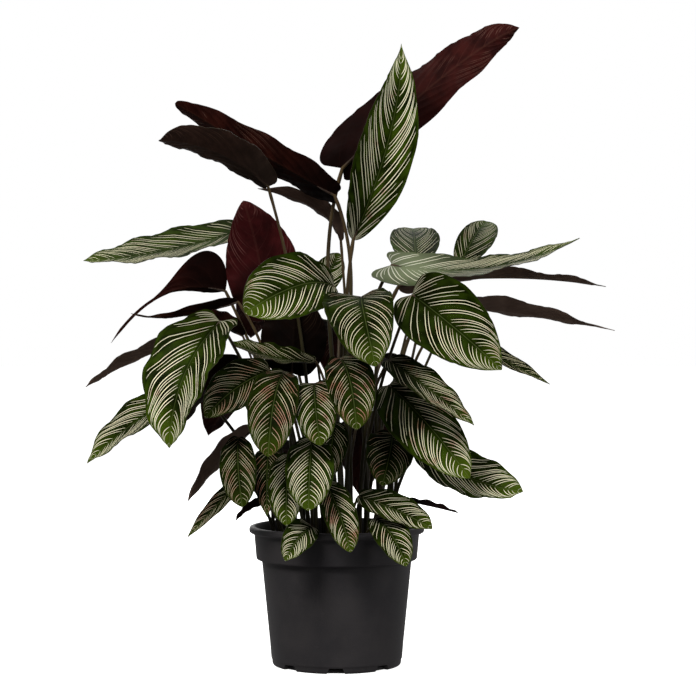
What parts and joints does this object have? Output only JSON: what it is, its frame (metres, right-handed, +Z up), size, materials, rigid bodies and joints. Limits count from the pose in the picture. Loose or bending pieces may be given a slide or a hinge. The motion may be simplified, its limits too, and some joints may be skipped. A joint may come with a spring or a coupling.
{
  "type": "potted plant",
  "caption": "Calathea with pinstriped oval leaves on thin stems, growing out of the soil of a round black nursery pot.",
  "frame": {"origin": "centre of the pot's flat underside", "axes": "+Z up along the pot's axis, +X to the right and -Y towards the viewer when the plant is seen from its front"},
  "size_m": [0.5851, 0.365, 0.6956],
  "materials": {
    "pot_plastic": "matte",
    "peat": "matte",
    "striped_leaf": "satin",
    "young_leaf": "satin"
  },
  "bodies": {
    "root": {"pot": "pot_plastic", "soil": "peat", "leaf_upright": "striped_leaf", "leaf_top_right": "striped_leaf", "leaf_top_left": "striped_leaf", "leaf_left_sweep": "striped_leaf", "leaf_under_sweep": "striped_leaf", "leaf_burgundy": "striped_leaf", "leaf_shoulder": "striped_leaf", "leaf_round_left": "striped_leaf", "leaf_thin_left": "striped_leaf", "leaf_long_left": "striped_leaf", "leaf_big_left": "striped_leaf", "leaf_low_left": "striped_leaf", "leaf_dark_left": "striped_leaf", "leaf_behind_big": "striped_leaf", "leaf_shade_left": "striped_leaf", "leaf_ledge": "striped_leaf", "leaf_curl_left": "striped_leaf", "leaf_mid_1": "striped_leaf", "leaf_mid_2": "striped_leaf", "leaf_mid_3": "striped_leaf", "leaf_crest": "striped_leaf", "leaf_big_right": "striped_leaf", "leaf_fan_right": "striped_leaf", "leaf_fan_back": "striped_leaf", "leaf_round_right": "striped_leaf", "leaf_dark_right_1": "striped_leaf", "leaf_dark_right_2": "striped_leaf", "leaf_small_right": "young_leaf", "leaf_right_1": "striped_leaf", "leaf_right_2": "striped_leaf", "leaf_right_3": "striped_leaf", "leaf_shade_right": "striped_leaf", "leaf_low_right": "young_leaf", "leaf_low_right_2": "striped_leaf", "leaf_low_mid": "striped_leaf", "leaf_rim_left": "striped_leaf", "leaf_light": "young_leaf", "leaf_light_back": "striped_leaf", "leaf_low_1": "striped_leaf", "leaf_low_2": "striped_leaf", "leaf_low_3": "striped_leaf", "leaf_low_left_2": "striped_leaf", "leaf_low_dark": "striped_leaf", "leaf_dark_low": "striped_leaf", "leaf_low_right_dark": "striped_leaf", "leaf_dark_mid": "striped_leaf", "leaf_back_peek": "striped_leaf", "leaf_back_left": "striped_leaf", "leaf_back_right": "striped_leaf", "leaf_back_mid": "striped_leaf", "leaf_back_low_right": "striped_leaf", "leaf_back_far_left": "striped_leaf", "leaf_back_low_left": "striped_leaf", "leaf_back_low_mid": "striped_leaf", "leaf_back_far_right": "striped_leaf"}
  },
  "joints": []
}
